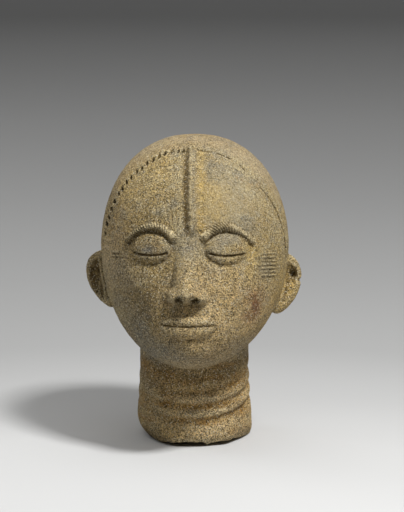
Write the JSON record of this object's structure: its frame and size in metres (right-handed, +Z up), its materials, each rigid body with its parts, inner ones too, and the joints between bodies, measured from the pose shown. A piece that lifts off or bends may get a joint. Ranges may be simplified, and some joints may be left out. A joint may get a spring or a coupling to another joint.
{
  "type": "memorial head sculpture",
  "caption": "Fired-clay memorial head: an egg-shaped head with closed eyes, cupped ears and a brow ridge, leaning back on a ringed neck with a worn flat foot.",
  "frame": {"origin": "middle of the neck's flat underside, on the surface it stands on", "axes": "+Z up, the face looks along -Y, +X is the viewer's right"},
  "size_m": [0.1471, 0.1545, 0.2071],
  "materials": {
    "fired_clay": "coarse gritty terracotta, dry and matt, with earth in the hollows"
  },
  "bodies": {
    "root": {"memorial_head": "fired_clay"}
  },
  "joints": []
}
